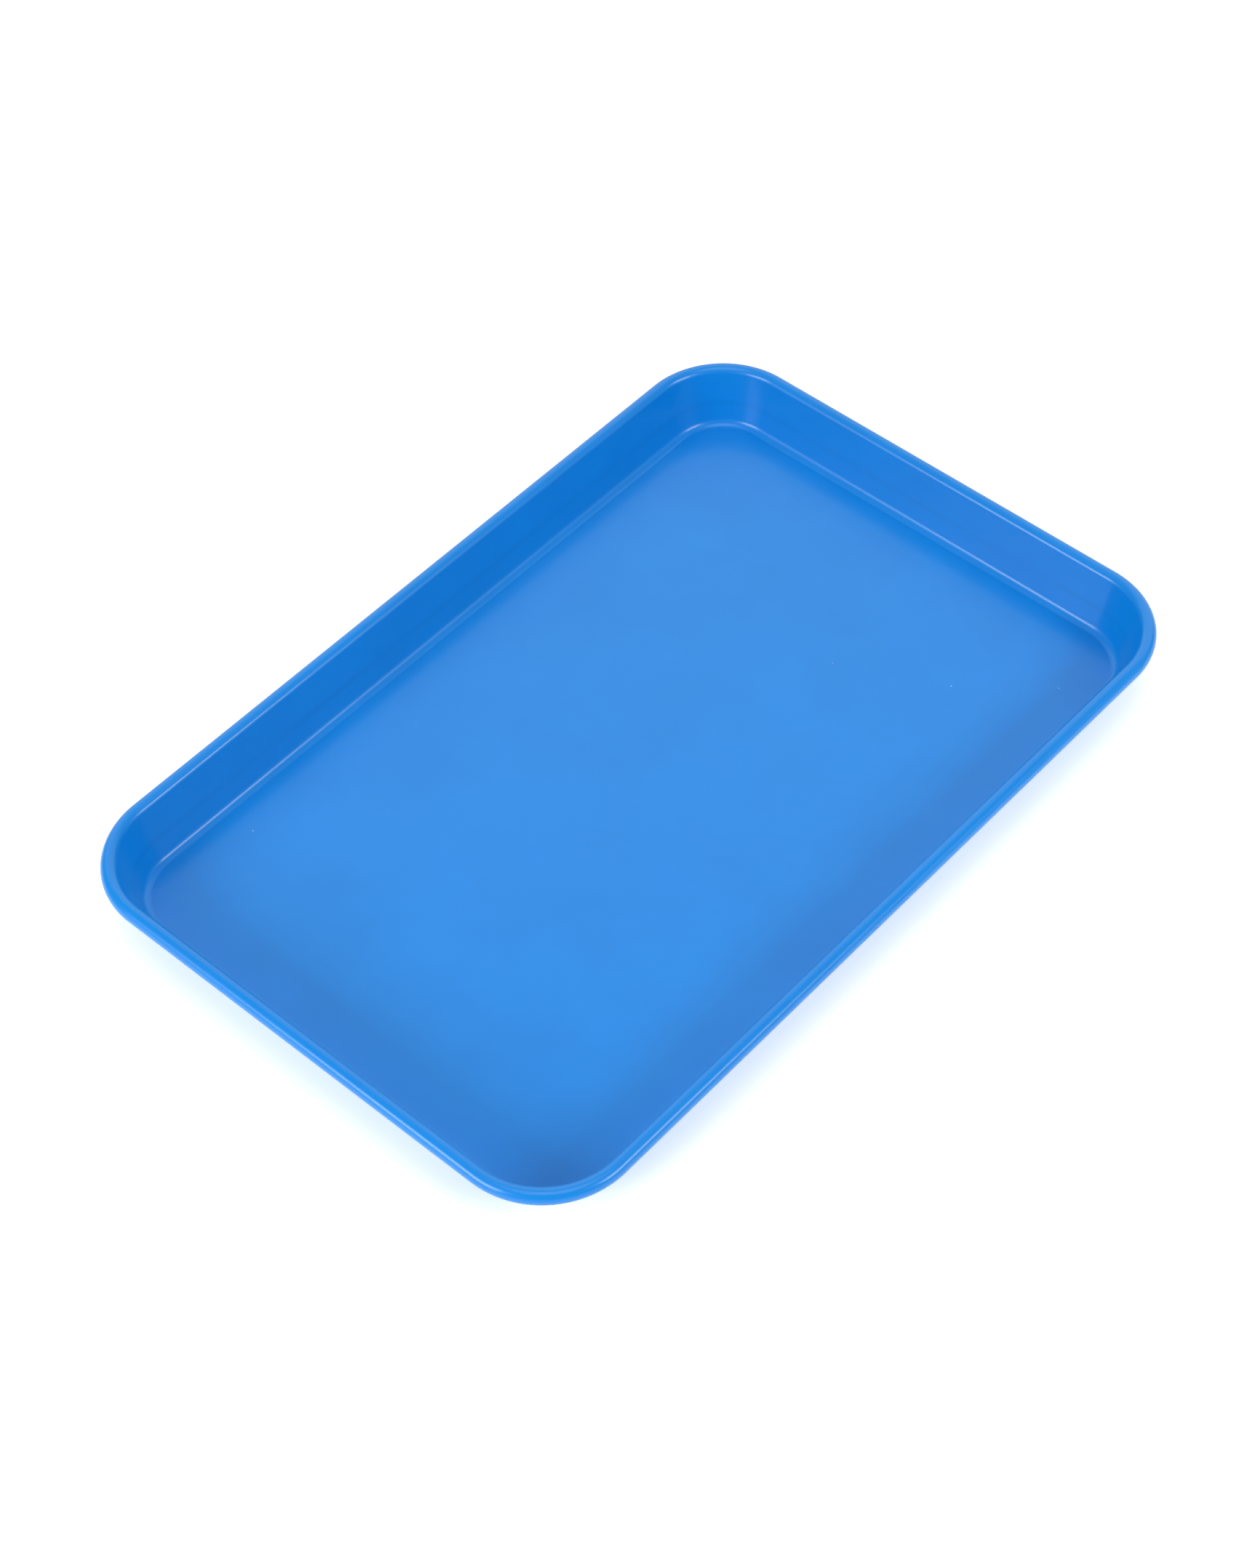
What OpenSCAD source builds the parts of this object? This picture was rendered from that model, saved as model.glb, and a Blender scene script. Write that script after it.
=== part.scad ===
// Shallow rectangular pan drawn from one steel sheet, its rim curled round a wire hoop.
// The origin is at the middle of the underside. +X runs along the length, +Z is up.

/* [Pan] */
// Length over the rim
pan_length = 300; // [220:10:400]
// Width over the rim
pan_width = 200; // [160:10:300]
// Height from the underside to the top of the rim
pan_height = 20; // [14:0.5:30]
// Corner radius at the outside of the rim, in plan
corner_radius = 30.5; // [26:0.5:50]
// Lean of the walls away from upright, in degrees
wall_draft = 18.5; // [8:0.5:24]
// Radius where the floor turns up into the wall, on the inside
floor_bend = 3; // [1.5:0.5:5]

/* [Sheet] */
// Thickness of the steel sheet
sheet = 0.6; // [0.4:0.1:1]

/* [Rim] */
// Outside diameter of the curled rim
curl_diameter = 5.2; // [4.4:0.2:7]
// Slit between the curl's cut edge and the wall, in degrees round the curl
curl_slit = 51; // [50:1:90]

/* [Wire] */
// Radial play between the wire and the curl
wire_play = 0.05; // [0.03:0.01:0.2]
// Gap between the hoop's two cut ends
wire_gap = 1; // [0.5:0.5:3]

/* [Hidden] */
$fn = 96;

curl_steps = 36;
bend_steps = 8;
curl_radius = curl_diameter / 2;
wire_radius = curl_radius - sheet - wire_play;

// The corner axes stand this far from the middle
axis_x = pan_length / 2 - corner_radius;
axis_y = pan_width / 2 - corner_radius;

// Section points are [distance out from the corner axis, height]
into_pan = [-cos(wall_draft), sin(wall_draft)];
curl_centre = [corner_radius - curl_radius, pan_height - curl_radius];
bend_height = sheet + floor_bend;
bend_reach = (bend_height * into_pan[1] - curl_centre * into_pan - curl_radius - floor_bend) / cos(wall_draft);
bend_centre = [bend_reach, bend_height];
curl_start = 180 - wall_draft;
curl_end = curl_start - 360 + curl_slit;

function arc(centre, radius, from, to, steps) =
    [for (i = [0 : steps]) let (a = from + (to - from) * i / steps) centre + radius * [cos(a), sin(a)]];

// One closed section of the sheet: floor, bend, leaning wall and curl, then back along the other face
module sheet_section() {
    polygon(concat(
        [[0, 0], [0, sheet]],
        arc(bend_centre, floor_bend, -90, -wall_draft, bend_steps),
        arc(curl_centre, curl_radius, curl_start, curl_end, curl_steps),
        arc(curl_centre, curl_radius - sheet, curl_end, curl_start, curl_steps),
        arc(bend_centre, floor_bend + sheet, -wall_draft, -90, bend_steps)
    ));
}

// A straight stretch of a section, running along +Y with the section's outside towards +X
module straight(length) {
    translate([0, length / 2, 0]) rotate([90, 0, 0]) linear_extrude(length) children();
}

// A section turned a quarter round each of the four corner axes
module four_corners() {
    for (side = [0 : 3]) {
        x = (side == 0 || side == 3) ? axis_x : -axis_x;
        y = side < 2 ? axis_y : -axis_y;
        translate([x, y, 0]) rotate([0, 0, 90 * side]) rotate_extrude(angle = 90) children();
    }
}

// The deep-drawn sheet: flat floor, leaning walls, and a rim curled outwards and under
module pan_shell() {
    color("dodgerblue") {
        four_corners() sheet_section();
        for (turn = [0, 180]) rotate([0, 0, turn]) {
            translate([axis_x, 0, 0]) straight(2 * axis_y) sheet_section();
            rotate([0, 0, 90]) translate([axis_y, 0, 0]) straight(2 * axis_x) sheet_section();
        }
        translate([-axis_x, -axis_y, 0]) cube([2 * axis_x, 2 * axis_y, sheet]);
    }
}

// The wire's round section, where it lies in the curl
module wire_section() {
    translate(curl_centre) circle(wire_radius);
}

// Steel wire bent into a hoop inside the curl, its cut ends facing each other half way along the back
module rim_wire() {
    half_back = axis_x - wire_gap / 2;
    color("silver") {
        four_corners() wire_section();
        for (turn = [0, 180]) rotate([0, 0, turn]) translate([axis_x, 0, 0]) straight(2 * axis_y) wire_section();
        rotate([0, 0, -90]) translate([axis_y, 0, 0]) straight(2 * axis_x) wire_section();
        for (end = [-1, 1]) translate([end * (axis_x + wire_gap / 2) / 2, 0, 0])
            rotate([0, 0, 90]) translate([axis_y, 0, 0]) straight(half_back) wire_section();
    }
}

pan_shell();
rim_wire();
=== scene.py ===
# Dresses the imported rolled-rim tray: a drawn steel sheet under a blue baked coat, curled round a rim wire
import math
import bpy
import numpy as np
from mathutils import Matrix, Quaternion, Vector


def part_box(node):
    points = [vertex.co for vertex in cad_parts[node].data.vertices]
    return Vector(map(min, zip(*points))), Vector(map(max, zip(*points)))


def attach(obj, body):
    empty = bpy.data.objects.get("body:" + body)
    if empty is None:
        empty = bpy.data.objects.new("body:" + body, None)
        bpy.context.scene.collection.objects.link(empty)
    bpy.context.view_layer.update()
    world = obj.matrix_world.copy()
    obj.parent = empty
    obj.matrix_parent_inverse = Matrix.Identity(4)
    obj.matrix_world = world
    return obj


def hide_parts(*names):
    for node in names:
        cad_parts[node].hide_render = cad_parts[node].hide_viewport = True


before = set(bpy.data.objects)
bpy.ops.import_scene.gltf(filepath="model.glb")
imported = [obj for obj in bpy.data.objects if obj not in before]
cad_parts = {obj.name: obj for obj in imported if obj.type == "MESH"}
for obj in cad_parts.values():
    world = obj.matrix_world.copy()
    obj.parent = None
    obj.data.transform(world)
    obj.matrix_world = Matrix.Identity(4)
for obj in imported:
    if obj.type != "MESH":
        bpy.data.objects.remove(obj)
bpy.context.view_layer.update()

shellLow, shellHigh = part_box("pan_shell")
mm = 0.001
scene = bpy.context.scene


def linearColour(hexCode):
    # sRGB hex to the linear values that shaders take: the usual curve with its straight foot
    channels = [int(hexCode[i:i + 2], 16) / 255 for i in (1, 3, 5)]
    return (*[c / 12.92 if c <= 0.04045 else ((c + 0.055) / 1.055) ** 2.4 for c in channels], 1.0)


def addNode(tree, kind, settings=None, inputs=None):
    # settings go on the node itself; an input given as a socket is linked, anything else is set
    node = tree.nodes.new(kind)
    for name, value in (settings or {}).items():
        setattr(node, name, value)
    for name, value in (inputs or {}).items():
        if isinstance(value, bpy.types.NodeSocket):
            tree.links.new(value, node.inputs[name])
        else:
            node.inputs[name].default_value = value
    return node


def newMaterial(name):
    material = bpy.data.materials.new(name)
    material.use_nodes = True
    material.node_tree.nodes.clear()
    return material, material.node_tree


def meshPiece(name, points, faces, smooth=True):
    mesh = bpy.data.meshes.new(name)
    mesh.from_pydata(points.tolist(), [], faces)
    mesh.polygons.foreach_set("use_smooth", np.full(len(mesh.polygons), smooth))
    mesh.update()
    piece = bpy.data.objects.new(name, mesh)
    scene.collection.objects.link(piece)
    return piece


tray = {
    "cornerRadius": 30.5,   # mm, outside of the rim, in plan
    "wallDraft": 18.5,      # degrees away from upright
    "floorBend": 3.0,       # mm, inside radius where the floor turns up
    "sheet": 0.6,           # mm
    "curlDiameter": 5.2,    # mm
    "curlSlit": 51,         # degrees of the curl left open at its cut edge
    "crown": 0.15,          # mm that the floor's middle stands up
    # how finely it is divided: along the section, round each corner, along the sides, over the floor
    "bendSteps": 18,
    "wallSteps": 14,
    "curlSteps": 72,
    "edgeSteps": 8,
    "liningSteps": 48,
    "outsideSteps": 10,
    "cornerSteps": 56,
    "longSteps": 36,
    "shortSteps": 24,
    "floorRings": 26,
    "ringSpread": 0.75,     # below one draws the floor's rings towards the bend
}


def arc(centre, radius, start, end, steps):
    # points at equal angles from start to end, in degrees, round a centre
    a = np.radians(np.linspace(start, end, steps + 1))
    return np.array(centre) + radius * np.stack([np.cos(a), np.sin(a)], 1)


def straightRun(start, end, steps):
    # points between two ends, which are left out
    share = np.linspace(0, 1, steps + 2)[1:-1, None]
    return start + (end - start) * share


def sheetSection(t, height):
    # [distance out from the corner axis, height] along the sheet's top face, round the curl and back
    # underneath: floor bend, straight wall, curl, half-round cut edge, curl's inside, wall, bend
    radius = t["curlDiameter"] / 2
    lean = math.radians(t["wallDraft"])
    centre = np.array([t["cornerRadius"] - radius, height - radius])
    bendHeight = t["sheet"] + t["floorBend"]
    # how far out the curl's centre is, measured square to the wall
    across = centre[0] * math.cos(lean) - centre[1] * math.sin(lean)
    reach = (bendHeight * math.sin(lean) + across - radius - t["floorBend"]) / math.cos(lean)
    bend = np.array([reach, bendHeight])
    start = 180 - t["wallDraft"]
    end = start - 360 + t["curlSlit"]
    inner = arc(bend, t["floorBend"], -90, -t["wallDraft"], t["bendSteps"])
    curl = arc(centre, radius, start, end, t["curlSteps"])
    lining = arc(centre, radius - t["sheet"], end, start, t["liningSteps"])
    outer = arc(bend, t["floorBend"] + t["sheet"], -t["wallDraft"], -90, t["bendSteps"])
    edge = arc((curl[-1] + lining[0]) / 2, t["sheet"] / 2, end, end - 180, t["edgeSteps"])[1:-1]
    wall = straightRun(inner[-1], curl[0], t["wallSteps"])
    outside = straightRun(lining[-1], outer[0], t["outsideSteps"])
    return np.concatenate([inner, wall, curl, edge, lining, outside, outer])


def rimPath(t, length, width):
    # stations round the tray: each has a point on the rectangle of corner axes, and the way out from there
    x, y = length / 2 - t["cornerRadius"], width / 2 - t["cornerRadius"]
    turn = np.radians(np.linspace(0, 90, t["cornerSteps"] + 1))
    anchors, outward = [], []
    corners = [(x, y), (-x, y), (-x, -y), (x, -y)]
    for side, corner in enumerate(corners):
        angles = turn + side * math.pi / 2
        anchors.append(np.tile(corner, (len(angles), 1)))
        outward.append(np.stack([np.cos(angles), np.sin(angles)], 1))
        steps = t["longSteps"] if side % 2 == 0 else t["shortSteps"]
        run = straightRun(np.array(corner), np.array(corners[(side + 1) % 4]), steps)
        anchors.append(run)
        outward.append(np.tile(outward[-1][-1], (len(run), 1)))
    return np.concatenate(anchors), np.concatenate(outward)


def gridFaces(rings, stations):
    # quads between neighbouring rings, each ring closed on itself
    ring = np.arange(rings - 1)[:, None] * stations
    here = np.arange(stations)[None, :]
    there = (here + 1) % stations
    corners = [ring + stations + here, ring + stations + there, ring + there, ring + here]
    return np.stack(corners, -1).reshape(-1, 4)


def fanFaces(middle, first, second):
    # triangles from one middle point to pairs of neighbouring stations
    return np.stack([np.full(len(first), middle), first, second], 1)


def buildShell(t):
    length, width = shellHigh.x - shellLow.x, shellHigh.y - shellLow.y
    section = sheetSection(t, (shellHigh.z - shellLow.z) / mm)
    anchors, outward = rimPath(t, length / mm, width / mm)
    stations = len(anchors)
    # the swept part: anchor + outward x distance, at the section's height
    swept = np.empty((len(section), stations, 3))
    swept[..., :2] = anchors[None] + outward[None] * section[:, None, :1]
    swept[..., 2] = section[:, 1:]
    # the floors: the first and last rings shrunk towards the middle, closer together near the bend
    share = (np.linspace(0, 1, t["floorRings"] + 1)[1:-1] ** t["ringSpread"])[:, None, None]
    top = swept[0] * [1, 1, 0] * share + [0, 0, t["sheet"]]
    under = (swept[-1] * [1, 1, 0] * share)[::-1]
    rings = np.concatenate([top, swept, under])
    points = np.concatenate([rings.reshape(-1, 3), [[0, 0, t["sheet"]], [0, 0, 0]]])
    # the crown lifts both faces of the floor by one minus the square of the distance out, X times Y
    flat = np.abs(swept[0]).max(0)
    fall = np.clip(1 - (points[:, :2] / flat[:2]) ** 2, 0, 1).prod(1)
    points[:, 2] += t["crown"] * fall * (points[:, 2] < t["sheet"] * 1.01)
    here = np.arange(stations)
    there = (here + 1) % stations
    last = (len(rings) - 1) * stations
    topMiddle, underMiddle = len(points) - 2, len(points) - 1
    quads = gridFaces(len(rings), stations)
    topFan = fanFaces(topMiddle, here, there)
    underFan = fanFaces(underMiddle, last + there, last + here)
    return meshPiece("drawn_sheet", points * mm, quads.tolist() + topFan.tolist() + underFan.tolist())


coat = {
    "deepColour": "#007acd",    # where the film is thick
    "thinColour": "#007ed2",    # where it is thin
    "filmPatch": 38,            # mm across a thick or thin patch
    "roughness": 0.33,
    "hazePatch": 11.4,          # mm across a duller or glossier patch
    "glossDrift": 0.035,        # how far the roughness wanders either way
    "ior": 1.36,
    "clearWeight": 0.28,        # share of the sharper second gloss
    "clearRoughness": 0.16,
    "peelSize": 2.4,            # mm across one swelling of the orange peel
    "peelDepth": 0.006,         # mm
    "drawLine": 8.2,            # mm up the wall, where the punch left its faint step
    "drawWidth": 1.5,           # mm
    "drawDepth": 0.02,          # mm
    "stepShadeColour": "#0075c5",  # painted shade: a darker blue along that step, standing in for the shade its tilt gives
    "dustSpacing": 13,          # mm between motes
    "dustSize": 0.42,           # mm, the largest mote
    "dustHeight": 0.03,         # mm
    "dustDulling": 0.4,         # roughness that a mote adds
    "dustColour": "#cfdcec",
    "pitSpacing": 17,           # mm between pinholes
    "pitSize": 0.40,            # mm
    "pitColour": "#0b3f7c",
}


def motes(tree, place, spacing, size):
    # one where a cell's nearest point is closer than a random share of half the size, else nought
    cells = addNode(tree, "ShaderNodeTexVoronoi", inputs={
        "Vector": place, "Scale": 1 / (spacing * mm)})
    share = addNode(tree, "ShaderNodeSeparateColor", inputs={"Color": cells.outputs["Color"]})
    reach = addNode(tree, "ShaderNodeMath", {"operation": "MULTIPLY"},
                    {0: share.outputs["Red"], 1: size / 2 / spacing})
    return addNode(tree, "ShaderNodeMath", {"operation": "LESS_THAN"},
                   {0: cells.outputs["Distance"], 1: reach.outputs["Value"]}).outputs["Value"]


def bakedCoat(c):
    # Polyester powder coat stoved on drawn steel: a deep even blue with a soft wide gloss under a sharper
    # one, very faint orange peel, and the odd dust mote or pinhole baked in
    material, tree = newMaterial("bakedPolyesterCoat")
    place = addNode(tree, "ShaderNodeTexCoord").outputs["Object"]
    film = addNode(tree, "ShaderNodeTexNoise", inputs={
        "Vector": place, "Scale": 1 / (c["filmPatch"] * mm), "Detail": 4.0, "Roughness": 0.6})
    filmShare = addNode(tree, "ShaderNodeMapRange", inputs={
        "Value": film.outputs["Fac"], "From Min": 0.35, "From Max": 0.65})
    # how near a point is to the draw line: one at it, falling smoothly to nought a width above and below
    split = addNode(tree, "ShaderNodeSeparateXYZ", inputs={"Vector": place})
    above = addNode(tree, "ShaderNodeMath", {"operation": "SUBTRACT"}, {
        0: split.outputs["Z"], 1: c["drawLine"] * mm})
    away = addNode(tree, "ShaderNodeMath", {"operation": "ABSOLUTE"}, {0: above.outputs["Value"]})
    near = addNode(tree, "ShaderNodeMapRange", {"interpolation_type": "SMOOTHSTEP"}, {
        "Value": away.outputs["Value"], "From Min": 0.0, "From Max": c["drawWidth"] * mm,
        "To Min": 1.0, "To Max": 0.0})
    # painted shade: the blue darkens near the draw line, where the step's tilt leaves the wall in shade
    stepShade = addNode(tree, "ShaderNodeMath", {"operation": "MULTIPLY"}, {
        0: near.outputs["Result"], 1: film.outputs["Fac"]})
    # colour: deep to thin by the film's noise, towards the painted shade by nearness x noise along the
    # draw line, then motes and pinholes over it
    spread = addNode(tree, "ShaderNodeMix", {"data_type": "RGBA"}, {
        0: filmShare.outputs["Result"], 6: linearColour(c["deepColour"]), 7: linearColour(c["thinColour"])})
    body = addNode(tree, "ShaderNodeMix", {"data_type": "RGBA"}, {
        0: stepShade.outputs["Value"], 6: spread.outputs[2], 7: linearColour(c["stepShadeColour"])})
    dust = motes(tree, place, c["dustSpacing"], c["dustSize"])
    # the pinholes' cells are shifted, so that they don't lie on the motes
    shifted = addNode(tree, "ShaderNodeMapping", inputs={"Vector": place, "Location": (0.31, 0.17, 0.23)})
    pits = motes(tree, shifted.outputs["Vector"], c["pitSpacing"], c["pitSize"])
    dusted = addNode(tree, "ShaderNodeMix", {"data_type": "RGBA"}, {
        0: dust, 6: body.outputs[2], 7: linearColour(c["dustColour"])})
    marked = addNode(tree, "ShaderNodeMix", {"data_type": "RGBA"}, {
        0: pits, 6: dusted.outputs[2], 7: linearColour(c["pitColour"])})
    # roughness: base plus or minus the drift by a finer noise, plus the dulling on motes
    haze = addNode(tree, "ShaderNodeTexNoise", inputs={
        "Vector": place, "Scale": 1 / (c["hazePatch"] * mm), "Detail": 5.0, "Roughness": 0.65})
    drift = addNode(tree, "ShaderNodeMapRange", inputs={
        "Value": haze.outputs["Fac"], "From Min": 0.3, "From Max": 0.7,
        "To Min": c["roughness"] - c["glossDrift"], "To Max": c["roughness"] + c["glossDrift"]})
    dull = addNode(tree, "ShaderNodeMath", {"operation": "MULTIPLY_ADD"},
                   {0: dust, 1: c["dustDulling"], 2: drift.outputs["Result"]})
    # height in mm: noise x peel depth, plus a smooth step up at the draw line, plus the motes' height
    peel = addNode(tree, "ShaderNodeTexNoise", inputs={
        "Vector": place, "Scale": 1 / (c["peelSize"] * mm), "Detail": 1.5, "Roughness": 0.4})
    swell = addNode(tree, "ShaderNodeMath", {"operation": "MULTIPLY"}, {
        0: peel.outputs["Fac"], 1: c["peelDepth"]})
    step = addNode(tree, "ShaderNodeMapRange", {"interpolation_type": "SMOOTHSTEP"}, {
        "Value": split.outputs["Z"], "From Min": (c["drawLine"] - c["drawWidth"] / 2) * mm,
        "From Max": (c["drawLine"] + c["drawWidth"] / 2) * mm, "To Min": 0.0, "To Max": c["drawDepth"]})
    lineUp = addNode(tree, "ShaderNodeMath", {"operation": "ADD"},
                     {0: swell.outputs["Value"], 1: step.outputs["Result"]})
    grain = addNode(tree, "ShaderNodeMath", {"operation": "MULTIPLY_ADD"},
                    {0: dust, 1: c["dustHeight"], 2: lineUp.outputs["Value"]})
    relief = addNode(tree, "ShaderNodeBump", inputs={
        "Height": grain.outputs["Value"], "Distance": mm, "Strength": 1.0})
    shader = addNode(tree, "ShaderNodeBsdfPrincipled", inputs={
        "Base Color": marked.outputs[2], "Roughness": dull.outputs["Value"], "IOR": c["ior"],
        "Coat Weight": c["clearWeight"], "Coat Roughness": c["clearRoughness"],
        "Normal": relief.outputs["Normal"]})
    addNode(tree, "ShaderNodeOutputMaterial", inputs={"Surface": shader.outputs["BSDF"]})
    return material


zinc = {
    "lightColour": "#c3c6c9",
    "darkColour": "#95999e",
    "spangle": 1.6,         # mm across one crystal
    "roughness": 0.42,
    "glossSpread": 0.08,    # how far one crystal's roughness stands from the mean
    "dieLine": 0.35,        # mm between the faint draw marks, drawn coarser than real to show
    "dieDepth": 0.004,      # mm
}


def zincWire(z):
    # Galvanised mild steel wire: dull silver with pale and dark zinc crystals and fine marks from the die.
    # Colour and roughness: each crystal's random share between two values
    material, tree = newMaterial("galvanisedSteelWire")
    place = addNode(tree, "ShaderNodeTexCoord").outputs["Object"]
    crystals = addNode(tree, "ShaderNodeTexVoronoi", inputs={
        "Vector": place, "Scale": 1 / (z["spangle"] * mm)})
    share = addNode(tree, "ShaderNodeSeparateColor", inputs={"Color": crystals.outputs["Color"]})
    colour = addNode(tree, "ShaderNodeMix", {"data_type": "RGBA"}, {
        0: share.outputs["Red"], 6: linearColour(z["lightColour"]), 7: linearColour(z["darkColour"])})
    gloss = addNode(tree, "ShaderNodeMapRange", inputs={
        "Value": share.outputs["Green"],
        "To Min": z["roughness"] - z["glossSpread"], "To Max": z["roughness"] + z["glossSpread"]})
    # height: noise x die depth; the marks run level round the wire, so the noise follows Z alone
    split = addNode(tree, "ShaderNodeSeparateXYZ", inputs={"Vector": place})
    marks = addNode(tree, "ShaderNodeTexNoise", {"noise_dimensions": "1D"}, {
        "W": split.outputs["Z"], "Scale": 1 / (z["dieLine"] * mm), "Detail": 2.0})
    relief = addNode(tree, "ShaderNodeBump", inputs={
        "Height": marks.outputs["Fac"], "Distance": z["dieDepth"] * mm, "Strength": 1.0})
    shader = addNode(tree, "ShaderNodeBsdfPrincipled", inputs={
        "Base Color": colour.outputs[2], "Metallic": 1.0, "Roughness": gloss.outputs["Result"],
        "Normal": relief.outputs["Normal"]})
    addNode(tree, "ShaderNodeOutputMaterial", inputs={"Surface": shader.outputs["BSDF"]})
    return material


sheetPiece = buildShell(tray)
sheetPiece.data.materials.append(bakedCoat(coat))
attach(sheetPiece, "root")
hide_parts("pan_shell")
print("drawn sheet:", len(sheetPiece.data.polygons), "faces, coated")

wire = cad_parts["rim_wire"]
wire.data.materials.clear()
wire.data.materials.append(zincWire(zinc))
print("rim wire: zinc surface")

studio = {
    "floorWhite": 0.97,     # how much light the floor gives back
    "floorGlow": 0.32,      # the white table is lit a little from under
    "roomLight": 0.33,      # dim white room all round
    "floorSide": 12.0,      # m
    "lampAim": 0.01,        # m up from the table, where the softboxes point
    # azimuth from +X and elevation, degrees; distance, width and height, m; radiance
    "softboxes": {
        "keyLeft": (167, 25, 1.6, 0.8, 0.65, 10),
        "keyRight": (283, 33, 1.65, 0.7, 0.5, 11),
        "backPanel": (37, 33, 2.6, 5.0, 2.6, 1.05),
        "topPanel": (223, 84, 1.8, 1.0, 1.15, 2.1),
    },
}


def addStage(s):
    # a wide white table that soft light also comes up through
    material, tree = newMaterial("whiteTable")
    shade = (s["floorWhite"],) * 3 + (1,)
    matt = addNode(tree, "ShaderNodeBsdfDiffuse", inputs={"Color": shade})
    glow = addNode(tree, "ShaderNodeEmission", inputs={"Color": (1, 1, 1, 1), "Strength": s["floorGlow"]})
    both = addNode(tree, "ShaderNodeAddShader", inputs={
        0: matt.outputs["BSDF"], 1: glow.outputs["Emission"]})
    addNode(tree, "ShaderNodeOutputMaterial", inputs={"Surface": both.outputs["Shader"]})
    half = s["floorSide"] / 2
    points = np.array([[-half, -half, 0], [half, -half, 0], [half, half, 0], [-half, half, 0]])
    floor = meshPiece("stage_floor", points, [[0, 1, 2, 3]], smooth=False)
    floor.data.materials.append(material)


def addSoftboxes(s):
    # each rectangle stands off the tray's middle and faces it; its power is radiance x pi x area
    middle = Vector((0, 0, s["lampAim"]))
    for name, (azimuth, elevation, distance, width, height, radiance) in s["softboxes"].items():
        turn, lift = math.radians(azimuth), math.radians(elevation)
        way = Vector((math.cos(lift) * math.cos(turn), math.cos(lift) * math.sin(turn), math.sin(lift)))
        light = bpy.data.lights.new(name, "AREA")
        light.shape, light.size, light.size_y = "RECTANGLE", width, height
        light.energy = radiance * math.pi * width * height
        box = bpy.data.objects.new(name, light)
        box.location = middle + way * distance
        box.rotation_mode = "QUATERNION"
        box.rotation_quaternion = way.to_track_quat("Z", "Y")
        box.visible_camera = False
        scene.collection.objects.link(box)


def addWorld(s):
    world = bpy.data.worlds.new("dimWhiteRoom")
    world.use_nodes = True
    world.node_tree.nodes.clear()
    glow = addNode(world.node_tree, "ShaderNodeBackground", inputs={
        "Color": (1, 1, 1, 1), "Strength": s["roomLight"]})
    addNode(world.node_tree, "ShaderNodeOutputWorld", inputs={"Surface": glow.outputs["Background"]})
    scene.world = world


cameraView = {
    "stand": (-0.4712, -0.4392, 0.7776),    # m
    "aim": (-0.0172, -0.0097, 0.02),        # m
    "roll": -2.35,                          # degrees
    "lens": 74.6,                           # mm on a 36 mm sensor
}


def addCamera(c):
    # looks along the tray's diagonal from about 50 degrees up
    camera = bpy.data.objects.new("camera", bpy.data.cameras.new("camera"))
    camera.data.sensor_width, camera.data.lens = 36, c["lens"]
    camera.data.clip_start, camera.data.clip_end = 0.01, 50
    camera.location = c["stand"]
    camera.rotation_mode = "QUATERNION"
    level = (Vector(c["aim"]) - Vector(c["stand"])).to_track_quat("-Z", "Y")
    camera.rotation_quaternion = level @ Quaternion((0, 0, 1), math.radians(c["roll"]))
    scene.collection.objects.link(camera)
    scene.camera = camera


addStage(studio)
addSoftboxes(studio)
addWorld(studio)
addCamera(cameraView)
scene.view_settings.view_transform = "Standard"
print("stage, lights and camera set")
